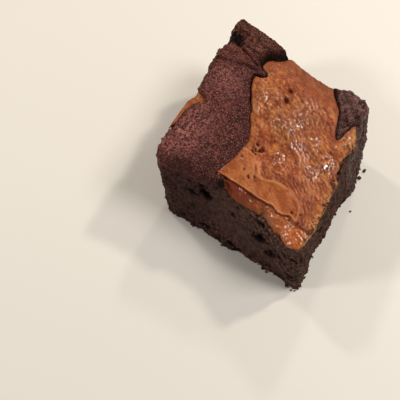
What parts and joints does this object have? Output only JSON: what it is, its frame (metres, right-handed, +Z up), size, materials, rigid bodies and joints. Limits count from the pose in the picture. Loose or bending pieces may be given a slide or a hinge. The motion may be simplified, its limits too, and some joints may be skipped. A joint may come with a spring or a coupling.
{
  "type": "chocolate brownie",
  "caption": "Thick hand-cut square of chocolate brownie with crusty top, dense cut sides and a glossy swirl of baked caramel set into the crust.",
  "frame": {"origin": "under the middle of the block, on the surface it lies on", "axes": "+Z up through the thickness; the front cut faces -Y and the right cut faces +X, each a few degrees off square"},
  "size_m": [0.0798, 0.0754, 0.0377],
  "materials": {
    "chocolate": "matte dark brown crumb with a grainy purple-brown crust",
    "caramel": "glossy blistered orange-brown baked caramel, satin where it is smooth"
  },
  "bodies": {
    "root": {"brownie_body": "chocolate", "caramel_swirl": "caramel", "caramel_dab": "caramel"}
  },
  "joints": []
}
